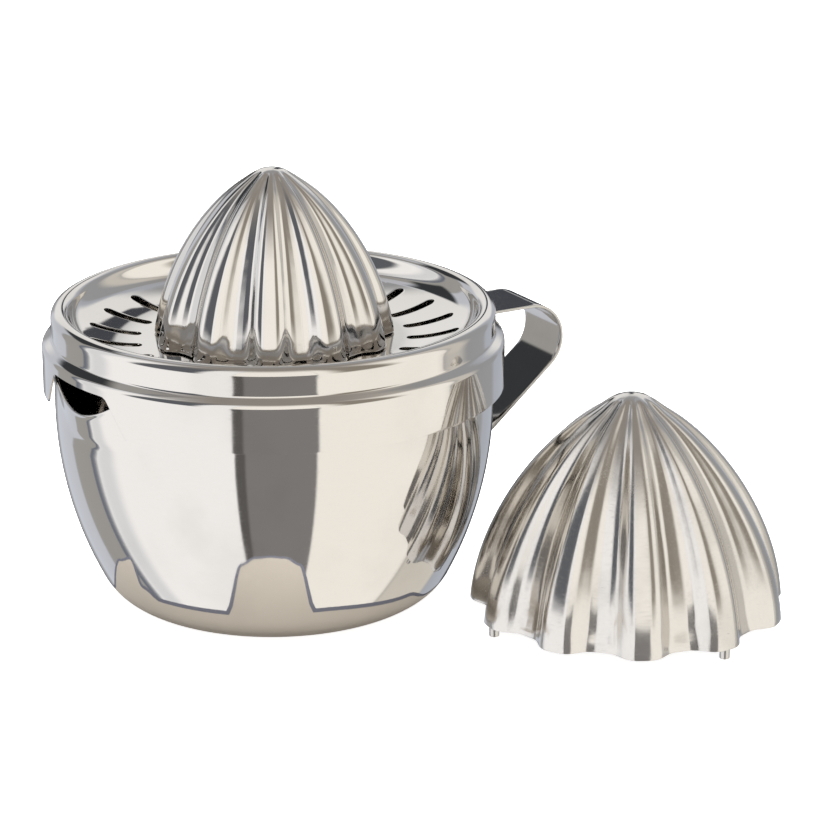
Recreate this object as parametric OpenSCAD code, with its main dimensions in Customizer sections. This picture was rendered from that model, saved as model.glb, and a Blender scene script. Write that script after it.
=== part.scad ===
// Citrus press: a spouted bowl with a strap handle, a slotted strainer tray that sits on its rim,
// a small fluted cone for lemons on the tray, and a large fluted cone for oranges beside it.
// The origin is on the bowl's axis at its underside. +X points to the handle, and the spout is near -X.

/* [Bowl] */
// Outer radius of the bowl at its rim
bowl_r = 70; // [66:0.5:88]
// Height of the bowl's rim
bowl_h = 88; // [72:0.5:110]
// Thickness of the bowl's sheet
bowl_sheet = 0.8; // [0.6:0.1:1.5]
// Radius of the flat foot under the bowl
foot_r = 39; // [28:0.5:48]
// Rise of the underside outside the foot, in degrees
foot_tilt = 15; // [8:1:22]
// Radius of the round corner between underside and side
corner_r = 16.5; // [10:0.5:20]
// Radius of the long curve of the side
side_r = 122; // [90:1:200]
// Height at which the side becomes upright
side_top = 66; // [54:0.5:70]

/* [Spout] */
// Turn of the spout and its notch from straight opposite the handle, in degrees
spout_turn = 6.2; // [-12:0.2:12]
// Half the angle that the spout's dip takes up on the rim, in degrees
spout_half = 30; // [18:1:40]
// Depth of the spout's dip in the rim
spout_dip = 14.5; // [8:0.5:16]
// Radius of the spout's pressed channel
spout_r = 40; // [30:1:50]
// How far the channel stands out of the wall at the middle of its edge
spout_flare = 2.2; // [1:0.1:2.4]
// Height over which the channel grows out of the wall
spout_flare_h = 11; // [8:0.5:13]

/* [Handle] */
// Width of the handle's strap
strap_w = 22.5; // [14:0.5:28]
// Thickness of the handle's strap
strap_t = 1; // [0.8:0.1:2.5]
// Reach of the handle, from the bowl's wall to its outermost point
strap_reach = 32.2; // [30:0.1:45]
// Middle radius of the handle's large bend
strap_bend_r = 11.75; // [9:0.25:13]
// Middle radius of the handle's upper bend, next to the bowl
strap_inner_r = 4; // [3:0.5:6]
// Slope of the lower leg, in degrees
strap_slope = 40; // [34:1:46]
// Depth of the strap's upper face below the bowl's rim
strap_drop = 2; // [1.5:0.5:6]
// Length of each welded end of the strap
strap_weld = 8; // [5:0.5:12]

/* [Strainer tray] */
// Thickness of the tray's sheet
tray_sheet = 0.7; // [0.5:0.1:1]
// Radial gap between the bowl's wall and the tray's skirt
skirt_gap = 2.8; // [2.6:0.1:4]
// Length of the skirt below the bowl's rim
skirt_drop = 16.5; // [10:0.5:24]
// Height of the upright band between shoulder and rolled rim
band_h = 5.5; // [3:0.5:9]
// Middle radius of the rolled rim
roll_r = 2.6; // [1.5:0.1:3.5]
// Steepness of the dish where it meets the rolled rim, in degrees
wall_tilt = 75; // [60:1:80]
// Steepness of the dish where its two curves meet, in degrees
dish_tilt = 22; // [16:1:28]
// Radius of the dish's outer curve
dish_corner_r = 8; // [6:0.5:10]
// Radius of the dish's shallow curve
dish_r = 52; // [40:1:60]
// Clearance between the tray's shoulder and the bowl's rim
seat_clear = 0.3; // [0.1:0.1:0.8]
// Distance of a slot's inner end inside the large cone's pins
slot_inset = 6; // [2:0.5:7]
// Width of metal between a slot's outer end and the rolled rim's centre
slot_margin = 8.6; // [7:0.2:14]

/* [Notches in the skirt] */
// Depth of the spout's notch top below the bowl's rim
notch_drop = 4.6; // [4:0.2:8]
// Half the width of the spout's notch at its top
notch_top_w = 15; // [13:0.5:20]
// Half the width of the spout's notch at the skirt's lower edge
notch_low_w = 23; // [20:0.5:30]
// Radius of the spout's notch in its upper corners
notch_corner = 3; // [1:0.5:5]
// Gap round the handle's strap where it passes through the skirt
strap_gap = 1.5; // [1:0.25:3]

/* [Cones] */
// Number of flutes round each cone
flutes = 11; // [9:1:13]
// Thickness of a cone's sheet
cone_sheet = 0.8; // [0.6:0.1:1.2]
// Ridge radius at the small cone's base
small_r = 38.5; // [32:0.5:39.5]
// Height of the small cone
small_h = 54.5; // [44:0.5:68]
// Depth of the small cone's flutes at its base
small_flute = 4.2; // [2:0.2:6]
// Gap between the small cone and the tray's floor
small_gap = 0.5; // [0.2:0.1:1.5]
// Turn of the small cone from the handle's direction, in degrees
small_turn = 11; // [0:1:32]
// Ridge radius at the large cone's base
large_r = 50.6; // [44:0.1:56]
// Height of the large cone's shell
large_h = 70; // [58:0.5:84]
// Depth of the large cone's flutes at its base
large_flute = 6; // [3:0.2:8]
// Turn of the large cone from the handle's direction, in degrees
large_turn = 13; // [0:1:32]
// How far the large cone's base reaches in under the bowl's rounded side, beside the bowl
large_tuck = 6; // [-30:0.5:7]
// Direction of the large cone from the bowl, in degrees below the handle's direction
large_bearing = 39.5; // [36:0.5:80]

/* [Locating pins] */
// Diameter of the small cone's pins
small_pin_d = 3; // [2:0.1:3.5]
// Diameter of the large cone's pins
large_pin_d = 3.2; // [2.4:0.1:4]
// Length of pin that shows below a cone
pin_out = 3.3; // [2:0.1:5]
// Length of pin welded inside a ridge
pin_in = 5.5; // [3:0.5:8]
// Depth that a pin is let into the ridge's sheet by its weld
pin_weld = 0.15; // [0.05:0.05:0.3]
// Clearance round a pin in the tray, on the radius
pin_clear = 0.15; // [0.1:0.05:0.5]

/* [Hidden] */
$fn = 96;

steel = [0.78, 0.77, 0.75];
dull_steel = [0.70, 0.68, 0.65];
// How far a cut runs past the metal
over = 1;

// Ridges that carry a pin, counted round a cone: three, four and four flutes apart
pin_ridges = [1, 5, 8];

// ---- sheet profiles: points [r, z], from the axis outwards ----
function arc(c, r, from, to, steps, first = 0) =
    [for (i = [first:steps]) let(a = from + (to - from) * i / steps) c + r * [cos(a), sin(a)]];
// The same arc without its first point, where the sheet is already there
function arc_on(c, r, from, to, steps) = arc(c, r, from, to, steps, 1);
function unit(v) = v / norm(v);
function left_of(a, b) = let(d = unit(b - a)) [-d[1], d[0]];
function normal_at(p, i) =
    i == 0 ? left_of(p[0], p[1]) :
    i == len(p) - 1 ? left_of(p[i - 1], p[i]) :
    let(n = left_of(p[i - 1], p[i]) + left_of(p[i], p[i + 1])) 2 * n / (n * n);
function shifted(p, d) = [for (i = [0:len(p) - 1]) p[i] + d * normal_at(p, i)];
function reversed(p) = [for (i = [len(p) - 1:-1:0]) p[i]];
function sheet(p, t) = concat(shifted(p, -t / 2), reversed(shifted(p, t / 2)));

// ---- bowl profile: foot, tilted underside, corner, long side curve, upright wall ----
side_c = [bowl_r - side_r, side_top];
corner_gap = side_r - corner_r;
corner_lift = -sin(foot_tilt) * (side_c[0] - foot_r) + cos(foot_tilt) * side_c[1] - corner_r;
corner_a = asin(corner_lift / corner_gap) - foot_tilt;
corner_c = side_c + corner_gap * [cos(corner_a), -sin(corner_a)];
bowl_outer = concat([[0, 0], [foot_r, 0]],
                    arc(corner_c, corner_r, foot_tilt - 90, -corner_a, 10),
                    arc_on(side_c, side_r, -corner_a, 0, 8),
                    [[bowl_r, bowl_h]]);

// ---- spout: a leaning channel grows out of the wall, under a bell-shaped dip in the rim ----
spout_lean = atan(spout_flare / spout_flare_h);
spout_edge = bowl_h - spout_dip;
spout_steps = 24;
spout_bell = concat([for (i = [0:spout_steps]) let(a = spout_half * (2 * i / spout_steps - 1))
                         [bowl_r * sin(a), bowl_h - spout_dip * pow(cos(90 * a / spout_half), 2)]],
                    [for (side = [1, -1]) [side * bowl_r * sin(spout_half), bowl_h + spout_dip]]);

// ---- handle: strap path [x, z] through upper weld, upper leg, large bend, lower leg, lower weld ----
// The flat strap is let into the round wall by half the wall's rise across it, at most half its thickness
wall_rise = strap_w * strap_w / 8 / bowl_r;
strap_sink = min(wall_rise, strap_t) / 2;
strap_r = bowl_r + strap_t / 2 - strap_sink;
strap_z = bowl_h - strap_drop - strap_t / 2;
strap_out = bowl_r + strap_reach - strap_t / 2;
bend_c = [strap_out - strap_bend_r, strap_z - strap_bend_r];
leg_start = bend_c + strap_bend_r * [sin(strap_slope), -cos(strap_slope)];
leg_dir = [-cos(strap_slope), -sin(strap_slope)];
// The lower leg is stopped where it meets the side's long curve, then follows its slope
foot_rel = leg_start - side_c;
foot_dot = foot_rel * leg_dir;
weld_r = side_r + strap_t / 2 - strap_sink;
leg_len = -foot_dot - sqrt(foot_dot * foot_dot - foot_rel * foot_rel + weld_r * weld_r);
leg_end = leg_start + leg_len * leg_dir;
leg_a = asin((side_top - leg_end[1]) / weld_r);
strap_path = concat([[strap_r, strap_z - strap_inner_r - strap_weld]],
                    arc([strap_r + strap_inner_r, strap_z - strap_inner_r], strap_inner_r, 180, 90, 6),
                    arc(bend_c, strap_bend_r, 90, strap_slope - 90, 16),
                    [leg_end, leg_end - strap_weld * [sin(leg_a), cos(leg_a)]]);

// ---- tray profile, along the middle of its sheet, worked out inwards from the shoulder ----
shoulder_r = 1.3;
shoulder_turn = 55;
brow_r = 1.8;
band_step = 0.2;
band_r = bowl_r + band_step;
skirt_r = bowl_r + skirt_gap + tray_sheet / 2;
shoulder_rise = sqrt(pow(shoulder_r + tray_sheet / 2, 2) - pow(shoulder_r + band_step, 2));
shoulder_c = [band_r + shoulder_r, bowl_h + seat_clear + shoulder_rise];
shoulder_end = shoulder_c + shoulder_r * [-cos(shoulder_turn), -sin(shoulder_turn)];
brow_span = (skirt_r - shoulder_end[0] - brow_r * (1 - cos(shoulder_turn))) / sin(shoulder_turn);
brow_c = shoulder_end + brow_span * [sin(shoulder_turn), -cos(shoulder_turn)]
         - brow_r * [cos(shoulder_turn), sin(shoulder_turn)];
skirt_low = bowl_h - skirt_drop;
roll_c = [band_r - roll_r, shoulder_c[1] + band_h];
wall_top = roll_c + roll_r * [-sin(wall_tilt), cos(wall_tilt)];
dish_corner_c = wall_top + dish_corner_r * [-sin(wall_tilt), cos(wall_tilt)];
dish_join = dish_corner_c + dish_corner_r * [sin(dish_tilt), -cos(dish_tilt)];
dish_c = dish_join + dish_r * [-sin(dish_tilt), cos(dish_tilt)];
floor_z = dish_c[1] - dish_r;
floor_top = floor_z + tray_sheet / 2;
floor_under = floor_z - tray_sheet / 2;
tray_path = concat([[0, floor_z]],
                   arc(dish_c, dish_r, -90, dish_tilt - 90, 6),
                   arc_on(dish_corner_c, dish_corner_r, dish_tilt - 90, wall_tilt - 90, 7),
                   arc_on(roll_c, roll_r, wall_tilt + 90, 0, 13),
                   arc(shoulder_c, shoulder_r, 180, 180 + shoulder_turn, 5),
                   arc(brow_c, brow_r, shoulder_turn, 0, 5),
                   [[skirt_r, skirt_low]]);

// ---- slots and pin holes in the tray: two slots for each flute, as wide as a large cone's pin needs ----
slot_count = 2 * flutes;
slot_outer = roll_c[0] - slot_margin;
slot_w = large_pin_d + 2 * pin_clear;
slot_cut_h = 14;

// ---- notches: points [y, z] of the spout's and the handle's opening in the skirt ----
notch_top = bowl_h - notch_drop;
notch_lean = atan((notch_low_w - notch_top_w) / (notch_top - skirt_low));
notch_arc_c = [notch_top_w - notch_corner * tan(45 - notch_lean / 2), notch_top - notch_corner];
notch_side = concat([[notch_low_w + over * tan(notch_lean), skirt_low - over]],
                    arc(notch_arc_c, notch_corner, notch_lean, 90, 5));
spout_notch = concat(notch_side, [for (p = reversed(notch_side)) [-p[0], p[1]]]);
strap_notch_w = strap_w / 2 + strap_gap;
strap_notch_top = strap_z + strap_t / 2 + strap_gap;
notch_deep = 2 * (skirt_gap + tray_sheet);

// ---- cones: a ridge follows a cubic curve from its base to the tip ----
small_z = floor_top + small_gap;
small_pin_r = small_r - cone_sheet - small_pin_d / 2 + pin_weld;
small_pin_out = small_gap + tray_sheet + pin_out;
large_pin_r = large_r - cone_sheet - large_pin_d / 2 + pin_weld;
large_far = bowl_r + large_r - large_tuck;
large_at = [large_far * cos(large_bearing), -large_far * sin(large_bearing), pin_out];
cone_cols = 8 * flutes;
cone_rows = 12;
// Each cone is [ridge radius, height, flute depth, lower guide, upper guide], guides as shares of both
small_form = [small_r, small_h, small_flute, [0.89, 0.57], [0.32, 0.97]];
large_form = [large_r, large_h, large_flute, [0.96, 0.41], [0.49, 0.89]];
function inner_form(f) = [f[0] - cone_sheet, f[1] - cone_sheet, f[2], f[3], f[4]];
function ridge(f, t) =
    let(u = 1 - t, r = f[0], h = f[1])
    u * u * u * [r, 0] + 3 * u * u * t * [r * f[3][0], h * f[3][1]]
    + 3 * u * t * t * [r * f[4][0], h * f[4][1]] + t * t * t * [0, h];
function flute_wave(a) = (1 + sin(90 * cos(flutes * a))) / 2;
function cone_point(f, row, col) =
    let(p = ridge(f, row / cone_rows), a = 360 * col / cone_cols,
        r = p[0] * (1 - f[2] / f[0] * (1 - flute_wave(a))))
    [r * cos(a), r * sin(a), p[1]];
function cone_skin(f) =
    concat([for (row = [0:cone_rows - 1], col = [0:cone_cols - 1]) cone_point(f, row, col)], [[0, 0, f[1]]]);
skin_size = cone_rows * cone_cols + 1;
function skin_faces(start, out) =
    let(n = cone_cols, tip = start + skin_size - 1,
        f = concat(
            [for (row = [0:cone_rows - 2], col = [0:n - 1])
                let(a = start + row * n + col, b = start + row * n + (col + 1) % n)
                each [[a, a + n, b + n], [a, b + n, b]]],
            [for (col = [0:n - 1]) [start + (cone_rows - 1) * n + col, tip,
                                    start + (cone_rows - 1) * n + (col + 1) % n]]))
    out ? f : [for (t = f) reversed(t)];
base_faces = [for (col = [0:cone_cols - 1]) let(b = (col + 1) % cone_cols)
    each [[col, b, skin_size + b], [col, skin_size + b, skin_size + col]]];

module turned(p) {
    rotate_extrude() polygon(p);
}

module bowl() {
    color(steel)
        difference() {
            union() {
                turned(concat(bowl_outer, [[0, bowl_h]]));
                spout_channel(spout_r);
            }
            turned(concat(shifted(bowl_outer, bowl_sheet),
                          [[bowl_r - bowl_sheet, bowl_h + over], [0, bowl_h + over]]));
            spout_channel(spout_r - bowl_sheet);
            rotate(spout_turn) translate([-bowl_r / 2, 0, 0])
                rotate([90, 0, -90]) linear_extrude(bowl_r) polygon(spout_bell);
            translate([0, 0, bowl_h]) cylinder(r = 2 * bowl_r, h = bowl_h);
        }
}

// A leaning round bar that comes through the wall at the spout and stands out by the flare at its edge
module spout_channel(r) {
    below = side_top / 2;
    rotate(spout_turn)
        translate([-bowl_r - spout_flare + spout_r, 0, spout_edge])
            rotate([0, -spout_lean, 0])
                translate([0, 0, -below]) cylinder(r = r, h = below + bowl_h - spout_edge);
}

module handle() {
    color(steel)
        difference() {
            rotate([90, 0, 0])
                linear_extrude(strap_w, center = true)
                    polygon(sheet(strap_path, strap_t));
            turned(concat(bowl_outer, [[0, bowl_h]]));
        }
}

module strainer_tray() {
    color(steel)
        difference() {
            turned(sheet(tray_path, tray_sheet));
            for (i = [0:slot_count - 1]) rotate(360 * i / slot_count) slot();
            for (k = pin_ridges) small_pin_place(k)
                cylinder(d = small_pin_d + 2 * pin_clear, h = slot_cut_h, center = true);
            rotate(180 + spout_turn) skirt_notch() polygon(spout_notch);
            skirt_notch() translate([-strap_notch_w, skirt_low - over])
                square([2 * strap_notch_w, strap_notch_top - skirt_low + over]);
        }
}

module slot() {
    inner = large_pin_r - slot_inset + slot_w / 2;
    outer = slot_outer - slot_w / 2;
    translate([0, 0, floor_under - over])
        linear_extrude(slot_cut_h) {
            translate([inner, -slot_w / 2]) square([outer - inner, slot_w]);
            translate([inner, 0]) circle(d = slot_w);
            translate([outer, 0]) circle(d = slot_w);
        }
}

module skirt_notch() {
    far = skirt_r * cos(asin(notch_low_w / skirt_r)) - notch_deep;
    translate([far, 0, 0]) rotate([90, 0, 90]) linear_extrude(skirt_r + notch_deep - far) children();
}

module cone(f) {
    polyhedron(concat(cone_skin(f), cone_skin(inner_form(f))),
               concat(skin_faces(0, true), skin_faces(skin_size, false), base_faces));
}

module small_cone() {
    color(steel) translate([0, 0, small_z]) rotate(small_turn) cone(small_form);
}

module small_pin_place(k) {
    rotate(small_turn + 360 * k / flutes) translate([small_pin_r, 0, small_z]) children();
}

module small_cone_pin(i) {
    color(dull_steel) small_pin_place(pin_ridges[i - 1])
        translate([0, 0, -small_pin_out]) cylinder(d = small_pin_d, h = small_pin_out + pin_in);
}

module large_cone() {
    color(dull_steel) translate(large_at) rotate(large_turn) cone(large_form);
}

module large_cone_pin(i) {
    color(dull_steel) translate(large_at) rotate(large_turn + 360 * pin_ridges[i - 1] / flutes)
        translate([large_pin_r, 0, -pin_out]) cylinder(d = large_pin_d, h = pin_out + pin_in);
}

bowl();
handle();
strainer_tray();
small_cone();
for (i = [1:3]) small_cone_pin(i);
large_cone();
for (i = [1:3]) large_cone_pin(i);
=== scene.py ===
# Citrus press in polished steel: spouted bowl with a strap handle, slotted tray, two fluted cones.
import math

import bmesh
import bpy
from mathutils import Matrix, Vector


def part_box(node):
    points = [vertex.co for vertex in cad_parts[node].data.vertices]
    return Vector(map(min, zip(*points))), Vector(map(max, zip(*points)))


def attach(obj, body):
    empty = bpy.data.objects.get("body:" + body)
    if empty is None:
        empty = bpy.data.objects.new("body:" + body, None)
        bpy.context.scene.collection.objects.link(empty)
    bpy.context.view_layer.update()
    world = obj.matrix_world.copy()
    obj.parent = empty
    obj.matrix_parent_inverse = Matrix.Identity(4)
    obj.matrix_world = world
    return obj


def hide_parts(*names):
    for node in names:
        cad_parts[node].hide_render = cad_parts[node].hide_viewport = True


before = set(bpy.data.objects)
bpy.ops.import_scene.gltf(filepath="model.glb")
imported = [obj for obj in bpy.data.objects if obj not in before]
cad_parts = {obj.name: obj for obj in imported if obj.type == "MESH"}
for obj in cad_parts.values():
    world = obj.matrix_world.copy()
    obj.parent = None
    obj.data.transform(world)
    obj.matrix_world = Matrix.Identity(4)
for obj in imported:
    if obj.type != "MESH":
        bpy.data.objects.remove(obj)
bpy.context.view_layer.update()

mm = 0.001


def alone(obj):
    if bpy.context.mode != "OBJECT":
        bpy.ops.object.mode_set(mode="OBJECT")
    bpy.ops.object.select_all(action="DESELECT")
    obj.select_set(True)
    bpy.context.view_layer.objects.active = obj


def edit(obj):
    alone(obj)
    bpy.ops.object.mode_set(mode="EDIT")


def closeEdit():
    bpy.ops.object.mode_set(mode="OBJECT")


def named(name):
    obj = bpy.context.object
    obj.name = name
    obj.data.name = name
    return obj


def pick(obj, kind, test):  # selects what has its middle where test says, in edit mode
    bpy.ops.mesh.select_mode(type=kind)
    bpy.ops.mesh.select_all(action="DESELECT")
    shape = bmesh.from_edit_mesh(obj.data)
    if kind == "VERT":
        for v in shape.verts:
            v.select_set(test(v.co))
    elif kind == "EDGE":
        for e in shape.edges:
            if test((e.verts[0].co + e.verts[1].co) / 2) and len(e.link_faces) < 2:
                e.select_set(True)
    else:
        for f in shape.faces:
            f.select_set(test(f.calc_center_median()))
    bmesh.update_edit_mesh(obj.data)


def place(obj, rule):  # puts every vertex where rule says
    for v in obj.data.vertices:
        v.co = rule(v.co)
    obj.data.update()


def modified(obj, kind, **settings):
    alone(obj)
    modifier = obj.modifiers.new(kind.lower(), kind)
    for key, value in settings.items():
        setattr(modifier, key, value)
    bpy.ops.object.modifier_apply(modifier=modifier.name)


def arc(cr, cz, radius, fromAngle, toAngle, steps):
    turns = [math.radians(fromAngle + (toAngle - fromAngle) * i / steps) for i in range(steps + 1)]
    return [(cr + radius * math.cos(a), cz + radius * math.sin(a)) for a in turns]


def growRing(path):  # extrudes the selected ring from one [radius, height] to the next, in mm
    for (r0, z0), (r1, z1) in zip(path, path[1:]):
        bpy.ops.mesh.extrude_edges_move(TRANSFORM_OT_translate={"value": (0, 0, (z1 - z0) * mm)})
        bpy.ops.transform.resize(value=(r1 / r0, r1 / r0, 1), center_override=(0, 0, 0))


def repeatRound(obj, count):  # copies all of the mesh round the Z axis and joins the copies
    edit(obj)
    bpy.ops.mesh.select_all(action="SELECT")
    bpy.ops.mesh.spin(steps=count - 1, dupli=True, angle=2 * math.pi * (count - 1) / count,
                      center=(0, 0, 0), axis=(0, 0, 1))
    bpy.ops.mesh.select_all(action="SELECT")
    bpy.ops.mesh.remove_doubles(threshold=0.00001)
    closeEdit()


def faceOut(obj):
    edit(obj)
    bpy.ops.mesh.select_all(action="SELECT")
    bpy.ops.mesh.normals_make_consistent(inside=False)
    closeEdit()


def smooth(obj, degrees):
    alone(obj)
    bpy.ops.object.shade_smooth_by_angle(angle=math.radians(degrees))


def swung(co, degrees):  # co turned about the Z axis
    a = math.radians(degrees)
    return Vector((co.x * math.cos(a) - co.y * math.sin(a), co.x * math.sin(a) + co.y * math.cos(a), co.z))


def softStep(x):
    x = min(1.0, max(0.0, x))
    return x * x * (3 - 2 * x)


def softMax(a, b, blend):  # the larger of two, with a rounded change from one to the other
    return (a + b + math.sqrt((a - b) ** 2 + blend ** 2)) / 2


camera = {"place": (-0.4495, -0.8674, 0.384), "tilt": 71.645, "turn": -30.0, "lens": 139.5}
bpy.ops.object.camera_add(location=camera["place"],
                          rotation=(math.radians(camera["tilt"]), 0, math.radians(camera["turn"])))
shotCamera = named("shotCamera")
shotCamera.data.lens = camera["lens"]
shotCamera.data.sensor_width = 36
shotCamera.data.clip_start = 0.01
shotCamera.data.clip_end = 50
bpy.context.scene.camera = shotCamera


bowlLow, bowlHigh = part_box("bowl")
bowl = {
    "columns": 288,
    "radius": bowlHigh.y / mm, "height": bowlHigh.z / mm, "sheet": 0.8,
    "foot": 39.0, "footTilt": 15.0, "footRise": 0.5,
    "cornerRadius": 16.5, "sideRadius": 122.0, "sideTop": 66.0,
    "spoutTurn": 6.2, "spoutHalf": 30.0, "spoutDip": 13.6, "spoutRadius": 40.0, "spoutFlare": 2.2,
    "spoutFlareHeight": 11.0, "lipHeight": 1.4, "lipCurl": 0.45,
}


def bowlProfile():
    b = bowl
    tilt = math.radians(b["footTilt"])
    sideR = b["radius"] - b["sideRadius"]
    gap = b["sideRadius"] - b["cornerRadius"]
    lift = -math.sin(tilt) * (sideR - b["foot"]) + math.cos(tilt) * b["sideTop"] - b["cornerRadius"]
    turn = math.asin(lift / gap) - tilt
    cornerR, cornerZ = sideR + gap * math.cos(turn), b["sideTop"] - gap * math.sin(turn)
    b["sideTurn"] = math.degrees(turn)
    dished = [(3, b["footRise"]), (8, b["footRise"]), (18, b["footRise"]), (28, b["footRise"]),
              (33, b["footRise"] * 0.96), (34.5, b["footRise"] * 0.6), (35.6, b["footRise"] * 0.12),
              (36.2, 0), (37.6, 0), (38.4, 0.04), (39.2, 0.15), (40.1, 0.33)]
    corner = arc(cornerR, cornerZ, b["cornerRadius"], b["footTilt"] - 90, -b["sideTurn"], 18)
    side = arc(sideR, b["sideTop"], b["sideRadius"], -b["sideTurn"], 0, 22)[1:]
    wall = [(b["radius"], z) for z in (68, 70, 72, 74, 76, 78, 80, 81.5, 83, 84.3, 85.5, 86.5, 87.3,
                                       b["height"])]
    return dished + corner + side + wall


def spoutShape(co):  # dips the rim near -X and lets a leaning channel stand out of the wall there
    b = bowl
    start, co = co, swung(co, -b["spoutTurn"])
    radius, z = math.hypot(co.x, co.y) / mm, co.z / mm
    bottom = b["height"] - b["spoutDip"] - b["spoutFlareHeight"]
    if z <= bottom or co.x >= 0:
        return start
    angle = math.atan2(co.y, -co.x)
    share = abs(math.degrees(angle)) / b["spoutHalf"]
    rim = b["height"]
    if share < 1:
        rim = b["height"] - b["spoutDip"] * math.cos(share * math.pi / 2) ** 2
        z = bottom + (z - bottom) * (rim - bottom) / (b["height"] - bottom)
    flare = b["spoutFlare"] * (z - bottom) / b["spoutFlareHeight"]
    centre = b["radius"] - b["spoutRadius"] + flare
    inside = b["spoutRadius"] ** 2 - (centre * math.sin(angle)) ** 2
    if inside > 0:
        channel = centre * math.cos(angle) + math.sqrt(inside)
        fade = softStep((z - bottom) / 3)
        radius += fade * (softMax(channel, b["radius"], 0.7) - b["radius"]) * softStep(2.2 - share * 1.6)
        radius += b["lipCurl"] * softStep(1 - (rim - z) / b["lipHeight"]) * softStep(1.6 - share * 1.6)
    shaped = Vector((-radius * math.cos(angle) * mm, radius * math.sin(angle) * mm, z * mm))
    return swung(shaped, b["spoutTurn"])


def buildBowl():
    b = bowl
    path = bowlProfile()
    bpy.ops.mesh.primitive_circle_add(vertices=b["columns"], radius=path[0][0] * mm, fill_type="TRIFAN")
    obj = named("pressBowl")
    edit(obj)
    bpy.ops.mesh.select_all(action="SELECT")
    bpy.ops.transform.translate(value=(0, 0, path[0][1] * mm))
    pick(obj, "EDGE", lambda co: co.xy.length > path[0][0] * mm * 0.9)
    growRing(path)
    closeEdit()
    place(obj, spoutShape)
    faceOut(obj)
    modified(obj, "SOLIDIFY", thickness=b["sheet"] * mm, offset=-1, use_even_offset=True)
    modified(obj, "BEVEL", width=0.25 * mm, segments=3, limit_method="ANGLE", angle_limit=math.radians(50))
    smooth(obj, 40)
    return obj


pressBowl = buildBowl()
print("bowl", len(pressBowl.data.polygons))


handleLow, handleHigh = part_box("handle")
strap = {
    "width": (handleHigh.y - handleLow.y) / mm, "thick": 1.0, "drop": 2.0,
    "outer": handleHigh.x / mm, "innerBend": 4.0, "bigBend": 11.75, "slope": 40.0, "weld": 8.0,
    "across": 14,
}
strap["rise"] = strap["width"] ** 2 / 8 / bowl["radius"]  # of the round wall across the strap
strap["sink"] = min(strap["rise"], strap["thick"]) / 2


def strapPath():  # [x, z] down the middle of the strap, from the upper weld to the lower one
    s, b = strap, bowl
    sink = s["sink"]
    x0 = b["radius"] + s["thick"] / 2 - sink
    top = b["height"] - s["drop"] - s["thick"] / 2
    bendX, bendZ = s["outer"] - s["thick"] / 2 - s["bigBend"], top - s["bigBend"]
    slope = math.radians(s["slope"])
    startX, startZ = bendX + s["bigBend"] * math.sin(slope), bendZ - s["bigBend"] * math.cos(slope)
    sideX = b["radius"] - b["sideRadius"]
    weldR = b["sideRadius"] + s["thick"] / 2 - sink
    relX, relZ = startX - sideX, startZ - b["sideTop"]
    dot = -relX * math.cos(slope) - relZ * math.sin(slope)
    length = -dot - math.sqrt(dot * dot - relX * relX - relZ * relZ + weldR * weldR)
    endX, endZ = startX - length * math.cos(slope), startZ - length * math.sin(slope)
    lean = math.asin((b["sideTop"] - endZ) / weldR)
    upper = [(x0, top - s["innerBend"] - s["weld"] * (1 - i / 6)) for i in range(6)]
    bend = arc(x0 + s["innerBend"], top - s["innerBend"], s["innerBend"], 180, 90, 10)
    leg = [(bend[-1][0] + (bendX - bend[-1][0]) * i / 6, top) for i in range(1, 6)]
    big = arc(bendX, bendZ, s["bigBend"], 90, s["slope"] - 90, 30)
    knee = 3.0  # rounding where the lower leg turns along the wall
    low = [(startX - (length - knee) * math.cos(slope) * i / 9,
            startZ - (length - knee) * math.sin(slope) * i / 9) for i in range(1, 10)]
    foot = (endX - knee * math.sin(lean), endZ - knee * math.cos(lean))
    round3 = []
    for i in range(1, 7):
        t = i / 6
        round3.append(tuple((1 - t) ** 2 * low[-1][k] + 2 * t * (1 - t) * (endX, endZ)[k] + t * t * foot[k]
                            for k in (0, 1)))
    rest = s["weld"] - knee
    weld = [(foot[0] - rest * math.sin(lean) * i / 3,
             foot[1] - rest * math.cos(lean) * i / 3) for i in (1, 2, 3)]
    s["upperBendX"], s["kneeZ"] = x0, endZ
    return upper + bend + leg + big + low + round3 + weld


def hugWall(co):  # curves both welded ends to the round wall; the strap is flat between them
    s = strap
    x, y, z = co.x / mm, co.y / mm, co.z / mm
    if z > s["kneeZ"] + 12:
        near = softStep(1 - (x - s["upperBendX"]) / (2.2 * s["innerBend"]))
    else:
        near = softStep(1 - (z - s["kneeZ"] + 1.5) / 8)
    bow = s["sink"] - s["rise"] * (2 * y / s["width"]) ** 2
    return Vector(((x + near * bow) * mm, co.y, co.z))


def buildHandle():
    s = strap
    path = strapPath()
    bpy.ops.mesh.primitive_grid_add(x_subdivisions=1, y_subdivisions=s["across"], size=s["width"] * mm)
    obj = named("strapHandle")
    edit(obj)
    pick(obj, "VERT", lambda co: co.x < 0)
    bpy.ops.mesh.delete(type="VERT")  # one row across the strap is left
    bpy.ops.mesh.select_all(action="SELECT")
    bpy.ops.transform.translate(value=(path[0][0] * mm - s["width"] * mm / 2, 0, path[0][1] * mm))
    for (x0, z0), (x1, z1) in zip(path, path[1:]):
        bpy.ops.mesh.extrude_edges_move(TRANSFORM_OT_translate={"value": ((x1 - x0) * mm, 0, (z1 - z0) * mm)})
    closeEdit()
    place(obj, hugWall)
    faceOut(obj)
    modified(obj, "SOLIDIFY", thickness=s["thick"] * mm, offset=0, use_even_offset=True)
    modified(obj, "BEVEL", width=0.25 * mm, segments=3, limit_method="ANGLE", angle_limit=math.radians(50))
    smooth(obj, 40)
    return obj


strapHandle = buildHandle()
print("handle", len(strapHandle.data.polygons))


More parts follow.
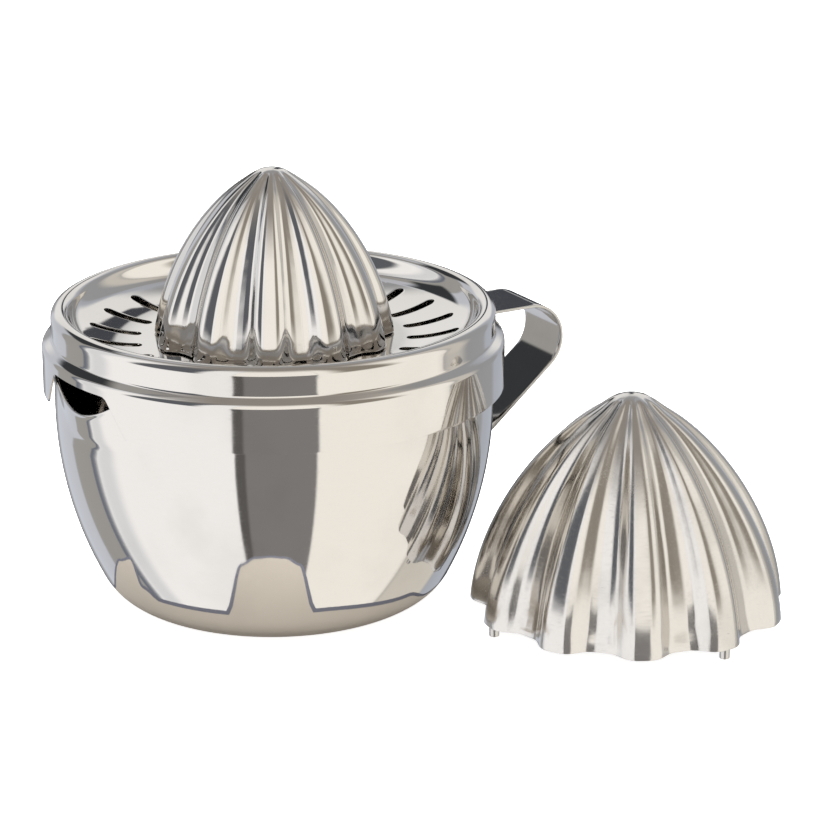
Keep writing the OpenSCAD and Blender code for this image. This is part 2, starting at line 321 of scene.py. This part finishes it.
trayLow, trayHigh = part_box("strainer_tray")
tray = {
    "slots": 22, "perSlot": 16, "rings": 6, "sheet": 0.7,
    "skirtGap": 2.8, "skirtDrop": 16.5, "bandHeight": 5.5, "roll": 2.6,
    "wallTilt": 75.0, "dishTilt": 22.0, "dishCorner": 8.0, "dishRadius": 52.0, "seat": 0.3,
    "slotInner": 42.35, "slotOuter": 59.0, "slotWidth": 3.5, "sectorInner": 41.0, "sectorOuter": 61.0,
    "notchTop": 4.6, "notchTopHalf": 15.0, "notchLowHalf": 23.0, "notchCorner": 3.0,
    "handleNotchTop": 87.5, "handleNotchHalf": 10.3,
    "shoulder": 1.3, "shoulderTurn": 55.0, "brow": 1.8, "step": 0.2,
}


def trayLayout():  # centres of the arcs that the tray's profile is made of, in mm
    t, b = tray, bowl
    turn = math.radians(t["shoulderTurn"])
    t["band"] = b["radius"] + t["step"]
    t["skirt"] = b["radius"] + t["skirtGap"] + t["sheet"] / 2
    rise = math.sqrt((t["shoulder"] + t["sheet"] / 2) ** 2 - (t["shoulder"] + t["step"]) ** 2)
    t["shoulderR"], t["shoulderZ"] = t["band"] + t["shoulder"], b["height"] + t["seat"] + rise
    endR = t["shoulderR"] - t["shoulder"] * math.cos(turn)
    endZ = t["shoulderZ"] - t["shoulder"] * math.sin(turn)
    span = (t["skirt"] - endR - t["brow"] * (1 - math.cos(turn))) / math.sin(turn)
    t["browR"] = endR + span * math.sin(turn) - t["brow"] * math.cos(turn)
    t["browZ"] = endZ - span * math.cos(turn) - t["brow"] * math.sin(turn)
    t["low"] = b["height"] - t["skirtDrop"]
    t["rollR"], t["rollZ"] = t["band"] - t["roll"], t["shoulderZ"] + t["bandHeight"]
    wall, dish = math.radians(t["wallTilt"]), math.radians(t["dishTilt"])
    topR, topZ = t["rollR"] - t["roll"] * math.sin(wall), t["rollZ"] + t["roll"] * math.cos(wall)
    t["cornerR"] = topR - t["dishCorner"] * math.sin(wall)
    t["cornerZ"] = topZ + t["dishCorner"] * math.cos(wall)
    t["joinR"] = t["cornerR"] + t["dishCorner"] * math.sin(dish)
    t["joinZ"] = t["cornerZ"] - t["dishCorner"] * math.cos(dish)
    t["dishR"] = t["joinR"] - t["dishRadius"] * math.sin(dish)
    t["dishZ"] = t["joinZ"] + t["dishRadius"] * math.cos(dish)
    t["floor"] = t["dishZ"] - t["dishRadius"]


trayLayout()


def dishHeight(r):  # height of the middle of the tray's sheet, inside the rolled rim
    t = tray
    if r < t["dishR"]:
        return t["floor"]
    if r < t["joinR"]:
        return t["dishZ"] - math.sqrt(t["dishRadius"] ** 2 - (r - t["dishR"]) ** 2)
    return t["cornerZ"] - math.sqrt(t["dishCorner"] ** 2 - (r - t["cornerR"]) ** 2)


def slotOutline(u):  # round a slot that lies along +X, from its inner end's middle
    t = tray
    half = t["slotWidth"] / 2
    inner, outer = t["slotInner"] + half, t["slotOuter"] - half
    side, v = divmod(u * 4 + 0.5, 1)
    if side in (0, 4):
        a = math.radians(90 + 180 * (1 - v))
        return inner + half * math.cos(a), half * math.sin(a)
    if side == 1:
        return inner + (outer - inner) * v, half
    if side == 2:
        a = math.radians(90 - 180 * v)
        return outer + half * math.cos(a), half * math.sin(a)
    return outer - (outer - inner) * v, -half


def sectorOutline(u):
    t = tray
    half = math.pi / t["slots"]
    side, v = divmod(u * 4 + 0.5, 1)
    if side in (0, 4):
        r, a = t["sectorInner"], half * (2 * v - 1)
    elif side == 1:
        r, a = t["sectorInner"] + (t["sectorOuter"] - t["sectorInner"]) * v, half
    elif side == 2:
        r, a = t["sectorOuter"], half * (1 - 2 * v)
    else:
        r, a = t["sectorOuter"] - (t["sectorOuter"] - t["sectorInner"]) * v, -half
    return r * math.cos(a), r * math.sin(a)


def sectorShape(co):
    u, v = (co.x + 0.5) % 1.0, co.y + 0.5
    v = 1.25 * v / (1 + 0.25 * v) if v < 1 else 1
    (x0, y0), (x1, y1) = slotOutline(u), sectorOutline(u)
    v = v ** 1.3
    x, y = x0 + (x1 - x0) * v, y0 + (y1 - y0) * v
    return Vector((x * mm, y * mm, dishHeight(math.hypot(x, y)) * mm))


def notchEdge(y):  # height of the spout notch's edge at a distance to the side of the spout
    t, b = tray, bowl
    top = b["height"] - t["notchTop"]
    lean = math.atan((t["notchLowHalf"] - t["notchTopHalf"]) / (top - t["low"]))
    centre = t["notchTopHalf"] - t["notchCorner"] * math.tan(math.pi / 4 - lean / 2)
    if y < centre:
        return top
    if y < centre + t["notchCorner"] * math.cos(lean):
        return top - t["notchCorner"] + math.sqrt(t["notchCorner"] ** 2 - (y - centre) ** 2)
    return t["low"] + (t["notchLowHalf"] - y) / math.tan(lean)


def notchShape(co):
    t = tray
    start, co = co, swung(co, -bowl["spoutTurn"])
    z = co.z / mm
    if co.x > 0 or z > t["browZ"] or co.xy.length < (t["skirt"] - 1) * mm:
        return start
    edge = notchEdge(abs(co.y) / mm)
    if edge <= t["low"]:
        return start
    top = t["browZ"]
    return Vector((start.x, start.y, (top + (z - top) * (top - edge) / (top - t["low"])) * mm))


def buildTray():
    t = tray
    bpy.ops.mesh.primitive_grid_add(x_subdivisions=4 * t["perSlot"], y_subdivisions=t["rings"], size=1)
    obj = named("strainerTray")
    place(obj, sectorShape)
    edit(obj)
    bpy.ops.mesh.select_all(action="SELECT")
    bpy.ops.mesh.remove_doubles(threshold=0.00001)
    repeatRound(obj, t["slots"])
    edit(obj)
    pick(obj, "EDGE", lambda co: co.xy.length > (t["sectorOuter"] - 0.3) * mm)
    slope = math.degrees(math.asin((t["sectorOuter"] - t["cornerR"]) / t["dishCorner"])) - 90
    shoulder = arc(t["shoulderR"], t["shoulderZ"], t["shoulder"], 180, 180 + t["shoulderTurn"], 6)
    brow = arc(t["browR"], t["browZ"], t["brow"], t["shoulderTurn"], 0, 6)
    share = (shoulder[-1][1] - t["handleNotchTop"]) / (shoulder[-1][1] - brow[0][1])
    cut = (shoulder[-1][0] + (brow[0][0] - shoulder[-1][0]) * share, t["handleNotchTop"])
    skirtRows = (0.3, 0.9, 1.8, 3.2, 5.2, 7.4, 9.6, 11.4, 12.6, 13.3, t["browZ"] - t["low"])
    growRing(arc(t["cornerR"], t["cornerZ"], t["dishCorner"], slope, t["wallTilt"] - 90, 8)
             + arc(t["rollR"], t["rollZ"], t["roll"], t["wallTilt"] + 90, 0, 18)[1:]
             + [(t["band"], t["rollZ"] - 1.2), (t["band"], t["rollZ"] - 3.0), (t["band"], t["rollZ"] - 4.6)]
             + shoulder + [cut] + brow + [(t["skirt"], t["browZ"] - row) for row in skirtRows])
    pick(obj, "EDGE", lambda co: co.xy.length < (t["sectorInner"] + 0.1) * mm)
    growRing([(r, t["floor"]) for r in (t["sectorInner"], 39.4, 38.2, 36, 33, 26, 18, 10, 3)])
    bpy.ops.mesh.extrude_edges_move(TRANSFORM_OT_translate={"value": (0, 0, 0)})
    bpy.ops.mesh.merge(type="CENTER")
    pick(obj, "FACE", lambda co: co.z < t["handleNotchTop"] * mm and co.xy.length > 68 * mm
         and abs(math.degrees(math.atan2(co.y, co.x))) < t["handleNotchHalf"])
    bpy.ops.mesh.delete(type="FACE")
    closeEdit()
    place(obj, notchShape)
    faceOut(obj)
    modified(obj, "SOLIDIFY", thickness=t["sheet"] * mm, offset=0, use_even_offset=True)
    return obj


strainerTray = buildTray()
print("tray", len(strainerTray.data.polygons))


smallLow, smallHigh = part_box("small_cone")
largeLow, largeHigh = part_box("large_cone")
smallCone = {
    "flutes": 11, "columns": 24, "rows": 48, "sheet": 0.8,
    "centre": (0.0, 0.0, smallLow.z / mm), "radius": 38.5, "height": (smallHigh.z - smallLow.z) / mm,
    "flute": 4.2, "turn": 11.0, "lower": (0.89, 0.57), "upper": (0.32, 0.97), "cap": 4.0, "dome": 0.6,
    "pinRadius": 36.35, "pinWidth": 3.0, "holeWidth": 3.3, "pinLow": -4.5, "pinHigh": 5.5,
    "pinRidges": (1, 5, 8),
}
largeCone = {
    "flutes": 11, "columns": 24, "rows": 48, "sheet": 0.8,
    "centre": (88.43, -72.90, largeLow.z / mm), "radius": 50.5, "height": (largeHigh.z - largeLow.z) / mm,
    "flute": 6.0, "turn": 13.0, "lower": (0.96, 0.41), "upper": (0.49, 0.89), "cap": 5.0, "dome": 1.5,
    "pinRadius": 48.35, "pinWidth": 3.2, "pinLow": -3.3, "pinHigh": 5.5, "pinRidges": (1, 5, 8),
}


def ridgePoint(cone, t):
    u, r, h = 1 - t, cone["radius"], cone["height"]
    (lr, lz), (ur, uz) = cone["lower"], cone["upper"]
    return (r * (u ** 3 + 3 * u * u * t * lr + 3 * u * t * t * ur),
            h * (3 * u * u * t * lz + 3 * u * t * t * uz + t ** 3))


def fluteWave(phase):  # 1 on a ridge, 0 in a valley, both broad
    return (1 + math.sin(math.pi / 2 * math.cos(phase))) / 2


def buildCone(name, cone):
    bpy.ops.mesh.primitive_grid_add(x_subdivisions=cone["columns"], y_subdivisions=cone["rows"], size=1)
    obj = named(name)

    def shape(co):
        phase = (co.x + 0.5) * 2 * math.pi
        t = co.y + 0.5
        t -= 0.10 * math.sin(2 * math.pi * t) / (2 * math.pi)  # more rows at the tip and at the base
        r, z = ridgePoint(cone, t)
        down = cone["height"] - z
        dome = down * down / (down + cone["dome"])
        z -= (dome - down) * softStep((2.4 * cone["cap"] - r) / (1.4 * cone["cap"]))
        fade = softStep((r - cone["cap"] * 0.8) / (cone["cap"] * 0.8))
        fade *= 1 - 0.12 * softStep(1 - z / 7)
        r *= 1 - fade * cone["flute"] / cone["radius"] * (1 - fluteWave(phase))
        a = phase / cone["flutes"]
        return Vector((r * math.cos(a) * mm, r * math.sin(a) * mm, z * mm))

    place(obj, shape)
    repeatRound(obj, cone["flutes"])
    faceOut(obj)
    modified(obj, "SOLIDIFY", thickness=cone["sheet"] * mm, offset=-1, use_even_offset=True)
    modified(obj, "BEVEL", width=0.22 * mm, segments=3, limit_method="ANGLE", angle_limit=math.radians(60))
    smooth(obj, 50)
    edit(obj)
    bpy.ops.mesh.select_all(action="SELECT")
    bpy.ops.transform.rotate(value=-math.radians(cone["turn"]), orient_axis="Z", center_override=(0, 0, 0))
    bpy.ops.transform.translate(value=[c * mm for c in cone["centre"]])
    closeEdit()
    return obj


def buildPins(name, cone):  # one turned pin, then a copy of it in each of three ridges
    pins = []
    wide, low, high = cone["pinWidth"], cone["pinLow"], cone["pinHigh"]
    bpy.ops.object.select_all(action="DESELECT")
    bpy.ops.mesh.primitive_cylinder_add(vertices=40, radius=wide / 2 * mm, depth=(high - low) * mm,
                                        location=(0, 0, (high + low) / 2 * mm))
    first = named(name + "1")
    bpy.ops.object.transform_apply(location=True, rotation=True, scale=True)
    edit(first)
    pick(first, "FACE", lambda co: co.z < (low + 0.01) * mm)
    bpy.ops.mesh.inset(thickness=0.75 * mm)
    bpy.ops.mesh.extrude_region_move(TRANSFORM_OT_translate={"value": (0, 0, 0.25 * mm)})
    bpy.ops.transform.resize(value=(0.3, 0.3, 1), center_override=(0, 0, 0))
    pick(first, "FACE", lambda co: co.z > (high - 0.01) * mm)
    bpy.ops.mesh.inset(thickness=0.3 * mm)
    closeEdit()
    modified(first, "BEVEL", width=0.22 * mm, segments=3, limit_method="ANGLE", angle_limit=math.radians(50))
    smooth(first, 40)
    for i in range(len(cone["pinRidges"])):
        pin = first
        if i:
            alone(first)
            bpy.ops.object.duplicate(linked=False)
            pin = named(name + str(i + 1))
        pins.append(pin)
    for pin, ridge in zip(pins, cone["pinRidges"]):
        a = math.radians(cone["turn"] + 360 * ridge / cone["flutes"])
        r = cone["pinRadius"]
        edit(pin)
        bpy.ops.mesh.select_all(action="SELECT")
        bpy.ops.transform.translate(value=((cone["centre"][0] + r * math.cos(a)) * mm,
                                           (cone["centre"][1] + r * math.sin(a)) * mm,
                                           cone["centre"][2] * mm))
        closeEdit()
    return pins


smallReamer = buildCone("smallCone", smallCone)
smallPins = buildPins("smallConePin", smallCone)
largeReamer = buildCone("largeCone", largeCone)
largePins = buildPins("largeConePin", largeCone)
print("cones", len(smallReamer.data.polygons), len(largeReamer.data.polygons))


def drillPinHoles():  # the small cone's pins stand in three holes of the tray
    for ridge in smallCone["pinRidges"]:
        a = math.radians(smallCone["turn"] + 360 * ridge / smallCone["flutes"])
        r = smallCone["pinRadius"] * mm
        bpy.ops.object.select_all(action="DESELECT")
        bpy.ops.mesh.primitive_cylinder_add(vertices=40, radius=smallCone["holeWidth"] / 2 * mm, depth=6 * mm,
                                            location=(r * math.cos(a), r * math.sin(a), tray["floor"] * mm))
        drill = bpy.context.object
        modified(strainerTray, "BOOLEAN", operation="DIFFERENCE", solver="EXACT", object=drill)
        alone(drill)
        bpy.ops.object.delete()


drillPinHoles()
modified(strainerTray, "BEVEL", width=0.18 * mm, segments=3, limit_method="ANGLE",
         angle_limit=math.radians(50))
smooth(strainerTray, 40)
print("tray drilled", len(strainerTray.data.polygons))


class Wire:  # a shader socket that Python sums work on
    def __init__(self, tree, socket):
        self.tree, self.socket = tree, socket

    def sum(self, kind, *others):
        node = self.tree.add("ShaderNodeMath", {"operation": kind},
                             dict(enumerate((self, *others))))
        return node[0]

    def __add__(self, other):
        return self.sum("ADD", other)

    def __radd__(self, other):
        return self.sum("ADD", other)

    def __sub__(self, other):
        return self.sum("SUBTRACT", other)

    def __rsub__(self, other):
        return self.tree.value(other).sum("SUBTRACT", self)

    def __mul__(self, other):
        return self.sum("MULTIPLY", other)

    def __rmul__(self, other):
        return self.sum("MULTIPLY", other)


class NodeTree:
    def __init__(self, tree):
        self.tree = tree
        tree.nodes.clear()

    def value(self, number):
        node = self.tree.nodes.new("ShaderNodeValue")
        node.outputs[0].default_value = number
        return Wire(self, node.outputs[0])

    def add(self, kind, settings=None, inputs=None):
        node = self.tree.nodes.new(kind)
        for key, value in (settings or {}).items():
            setattr(node, key, value)
        for key, value in (inputs or {}).items():
            socket = node.inputs[key]
            if isinstance(value, Wire):
                self.tree.links.new(value.socket, socket)
            else:
                socket.default_value = value
        return Outputs(self, node)

    def mix(self, share, first, second):
        return self.add("ShaderNodeMix", {"data_type": "RGBA"}, {0: share, 6: first, 7: second})[2]

    def band(self, wire, low, high):  # 0 below low, 1 above high
        return self.add("ShaderNodeMapRange", {"interpolation_type": "SMOOTHSTEP"},
                        {"Value": wire, "From Min": low, "From Max": high})["Result"]

    def vector(self, kind, *values):
        return self.add("ShaderNodeVectorMath", {"operation": kind}, dict(enumerate(values)))["Vector"]


class Outputs:
    def __init__(self, tree, node):
        self.tree, self.node = tree, node

    def __getitem__(self, key):
        return Wire(self.tree, self.node.outputs[key])


steel = {
    "light": (0.72, 0.695, 0.66, 1), "dark": (0.66, 0.635, 0.60, 1), "rough": 0.035,
    "smudge": 0.03, "streak": 0.05, "ripple": 0.6,
}


def steelFinish(name, light, dark, rough, smudge, streak, ripple, centre=(0, 0, 0), edge=None):
    material = bpy.data.materials.new(name)
    material.use_nodes = True
    t = NodeTree(material.node_tree)
    spot = t.add("ShaderNodeTexCoord")["Object"]
    here = t.vector("SUBTRACT", spot, [c * mm for c in centre])
    parts = t.add("ShaderNodeSeparateXYZ", {}, {0: here})
    x, y, z = parts["X"], parts["Y"], parts["Z"]
    angle = y.sum("ARCTAN2", x)
    radius = (x * x + y * y).sum("SQRT")
    turned = t.add("ShaderNodeCombineXYZ", {}, {0: angle * 0.02, 1: radius * 2.0, 2: z * 2.0})["Vector"]
    lines = t.add("ShaderNodeTexNoise", {}, {"Vector": turned, "Scale": 900.0, "Detail": 4.0,
                                             "Roughness": 0.6})[0]
    cloud = t.add("ShaderNodeTexNoise", {}, {"Vector": here, "Scale": 38.0, "Detail": 3.0,
                                             "Roughness": 0.5})[0]
    grain = t.add("ShaderNodeTexNoise", {}, {"Vector": here, "Scale": 900.0, "Detail": 2.0,
                                             "Roughness": 0.5})[0]
    smears = t.band(cloud, 0.45, 0.75)
    colour = t.mix(smears * 0.7 + lines * 0.3, light, dark)
    roughness = smears * smudge + t.band(lines, 0.45, 0.8) * streak + rough
    height = lines * 0.25 + grain * 0.35 + cloud * ripple * 6.0
    bump = t.add("ShaderNodeBump", {}, {"Height": height, "Strength": 1.0, "Distance": 0.0000035})["Normal"]
    if edge:
        rim = t.band(y.sum("ABSOLUTE"), edge * mm, (edge + 0.15) * mm)
        colour = t.mix(rim, colour, (0.62, 0.60, 0.57, 1))
        roughness = roughness + rim * 0.28
    shader = t.add("ShaderNodeBsdfPrincipled", {},
                   {"Base Color": colour, "Metallic": 1.0, "Roughness": roughness, "Normal": bump})
    t.add("ShaderNodeOutputMaterial", {}, {"Surface": shader[0]})
    return material


mirrorSteel = steelFinish("mirrorSteel", **steel)
traySteel = steelFinish("traySteel", **{**steel, "rough": 0.04})
strapSteel = steelFinish("strapSteel", **{**steel, "rough": 0.06, "edge": strap["width"] / 2 - 0.35})
smallSteel = steelFinish("smallConeSteel", **{**steel, "rough": 0.06, "ripple": 14.0,
                                              "centre": smallCone["centre"]})
largeSteel = steelFinish("largeConeSteel", **{**steel, "rough": 0.14, "smudge": 0.10, "streak": 0.12,
                                              "ripple": 18.0,
                                              "dark": (0.60, 0.575, 0.54, 1), "centre": largeCone["centre"]})
pinSteel = steelFinish("pinSteel", **{**steel, "rough": 0.22, "light": (0.62, 0.60, 0.57, 1),
                                      "dark": (0.55, 0.53, 0.50, 1)})
print("steel made")


def fit(obj, body, node, material):
    obj.data.materials.clear()
    obj.data.materials.append(material)
    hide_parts(node)
    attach(obj, body)


fit(pressBowl, "pot", "bowl", mirrorSteel)
fit(strapHandle, "pot", "handle", strapSteel)
fit(strainerTray, "tray", "strainer_tray", traySteel)
fit(smallReamer, "small_reamer", "small_cone", smallSteel)
fit(largeReamer, "large_reamer", "large_cone", largeSteel)
for i in range(3):
    fit(smallPins[i], "small_reamer", "small_cone_pin_" + str(i + 1), pinSteel)
    fit(largePins[i], "large_reamer", "large_cone_pin_" + str(i + 1), pinSteel)
print("pieces ride on their bodies")


bpy.ops.mesh.primitive_plane_add(size=16, location=(0, 0, -0.0002))
floor = named("floorSheet")
floor.visible_glossy = False
# The card below is seen only in the steel's reflections. Its beige top is painted shade of the table near the
# bowl's foot, with a faint painted glow, and its dark rim is a painted dark edge line in those reflections.
card = {
    "turn": -30.0, "rim": 1.8, "sides": 360,
    # direction from the bowl in degrees, 270 towards the camera, and reach in mm
    "outline": [(0, 57), (186, 58), (198, 80), (206, 84), (214, 68), (224, 64), (253, 64), (258, 92),
                (264, 98),
                (270, 99), (276, 98), (282, 92), (287, 65), (330, 62), (345, 56), (360, 57)],
}


def cardShape(co):  # draws a circle out to the card's outline
    a = math.degrees(math.atan2(co.y, co.x)) % 360
    for (a0, r0), (a1, r1) in zip(card["outline"], card["outline"][1:]):
        if a0 <= a <= a1:
            reach = r0 + (r1 - r0) * softStep((a - a0) / (a1 - a0))
            return swung(Vector((co.x, co.y, co.z)) * (reach * mm / co.xy.length), card["turn"])
    return co


bpy.ops.mesh.primitive_circle_add(vertices=card["sides"], radius=0.06, fill_type="NGON", location=(0, 0, 0))
reflectedShadeCard = named("reflectedShadeCard")
place(reflectedShadeCard, cardShape)
edit(reflectedShadeCard)
pick(reflectedShadeCard, "FACE", lambda co: True)
bpy.ops.mesh.inset(thickness=card["rim"] * mm)
closeEdit()
reflectedShadeCard.location.z = -0.0001
reflectedShadeCard.visible_camera = False
reflectedShadeCard.visible_diffuse = False
reflectedShadeCard.visible_shadow = False


def plain(name, colour, rough, glow=0.0):
    material = bpy.data.materials.new(name)
    material.use_nodes = True
    t = NodeTree(material.node_tree)
    spot = t.add("ShaderNodeTexCoord")["Object"]
    cloud = t.add("ShaderNodeTexNoise", {}, {"Vector": spot, "Scale": 6.0, "Detail": 2.0})[0]
    tint = t.mix(cloud * 0.3, colour, tuple(c * 0.97 for c in colour[:3]) + (1,))
    shader = t.add("ShaderNodeBsdfPrincipled", {}, {"Base Color": tint, "Roughness": rough,
                                                    "Emission Color": colour,
                    "Emission Strength": glow})
    t.add("ShaderNodeOutputMaterial", {}, {"Surface": shader[0]})
    return material


floor.data.materials.append(plain("floorPaper", (0.92, 0.92, 0.92, 1), 0.8, 0.9))
# Painted table shade with a faint glow, and a painted dark edge line, both seen only in reflections
reflectedShadeCard.data.materials.append(plain("paintedTableShade", (0.42, 0.39, 0.35, 1), 0.6, 0.35))
reflectedShadeCard.data.materials.append(plain("paintedReflectionEdge", (0.16, 0.17, 0.22, 1), 0.6))
for face in reflectedShadeCard.data.polygons:
    face.material_index = 0 if len(face.vertices) == card["sides"] else 1

bpy.ops.object.light_add(type="AREA", location=(-0.2, -0.3, 2.2))
topLight = named("topLight")
topLight.data.shape = "DISK"
topLight.data.size = 2.6
topLight.data.energy = 95
topLight.visible_glossy = False

studio = {
    "facing": (-0.5, -0.866025), "right": (0.866025, -0.5),
    "shade": (0.40, 0.41, 0.43, 1),
    # each panel: from and to round the object, from and to in height, softness of its edges, colour
    "panels": [
        (165, 181, -95, 5, 2, (0.06, 0.065, 0.075)),
        (-181, -165, -95, 5, 2, (0.06, 0.065, 0.075)),
        (-157, -131, -95, 95, 2, (0.67, 0.70, 0.78)),
        (-131, -112, -95, 95, 2, (0.43, 0.425, 0.417)),
        (-112, -107.5, -95, 95, 0.8, (0.20, 0.22, 0.27)),
        (-106, -18, -95, 95, 1, (1.20, 1.20, 1.22)),
        (-106, -92, -95, 95, 5, (0.92, 0.94, 0.98)),
        (-18, 24, 3, 95, 1, (1.20, 1.17, 1.12)),
        (-18, 24, -95, 3, 1, (0.27, 0.26, 0.26)),
        (-18, -13, -95, 3, 1, (0.135, 0.13, 0.13)),
        (24, 99, -95, 95, 1, (1.17, 1.14, 1.08)),
        (99, 142, -95, -24, 4, (0.78, 0.74, 0.67)),
        (99, 116, -20, 95, 6, (0.74, 0.71, 0.66)),
        (142, 165, -95, 95, 3, (0.50, 0.53, 0.60)),
        (-181, -150, 8, 40, 5, (0.98, 0.98, 0.98)),
        (150, 181, 8, 40, 5, (0.98, 0.98, 0.98)),
        (174, 179.3, 8, 30, 0.6, (0.07, 0.075, 0.09)),
        (-152, -118, 23, 46, 3, (0.045, 0.05, 0.055)),
        (-74, -36, 6, 80, 4, (0.14, 0.15, 0.17)),
        (34, 66, 6, 80, 7, (0.34, 0.305, 0.26)),
        (-181, 181, 60, 120, 18, (0.36, 0.335, 0.31)),
    ],
}


def studioWorld():
    world = bpy.data.worlds.new("studioWorld")
    bpy.context.scene.world = world
    world.use_nodes = True
    t = NodeTree(world.node_tree)
    way = t.add("ShaderNodeTexCoord")["Generated"]
    parts = t.add("ShaderNodeSeparateXYZ", {}, {0: way})
    x, y, z = parts["X"], parts["Y"], parts["Z"]
    (fx, fy), (rx, ry) = studio["facing"], studio["right"]
    turn = (x * rx + y * ry).sum("ARCTAN2", x * fx + y * fy) * (180 / math.pi)
    rise = z.sum("ARCSINE") * (180 / math.pi)
    colour = studio["shade"]
    for low, high, down, up, soft, tint in studio["panels"]:
        inside = t.band(rise, down - soft, down + soft) * (1 - t.band(rise, up - soft, up + soft))
        if high - low < 359:
            inside = inside * t.band(turn, low - soft, low + soft) * (1 - t.band(turn, high - soft,
                                                                                 high + soft))
        colour = t.mix(inside, colour, (*tint, 1))
    seen = t.add("ShaderNodeLightPath")["Is Camera Ray"]
    shown = t.mix(seen, colour, (1.0, 1.0, 1.0, 1))
    background = t.add("ShaderNodeBackground", {}, {"Color": shown, "Strength": 1.0})
    t.add("ShaderNodeOutputWorld", {}, {"Surface": background[0]})


studioWorld()
bpy.context.scene.view_settings.view_transform = "Standard"
print("studio lit")
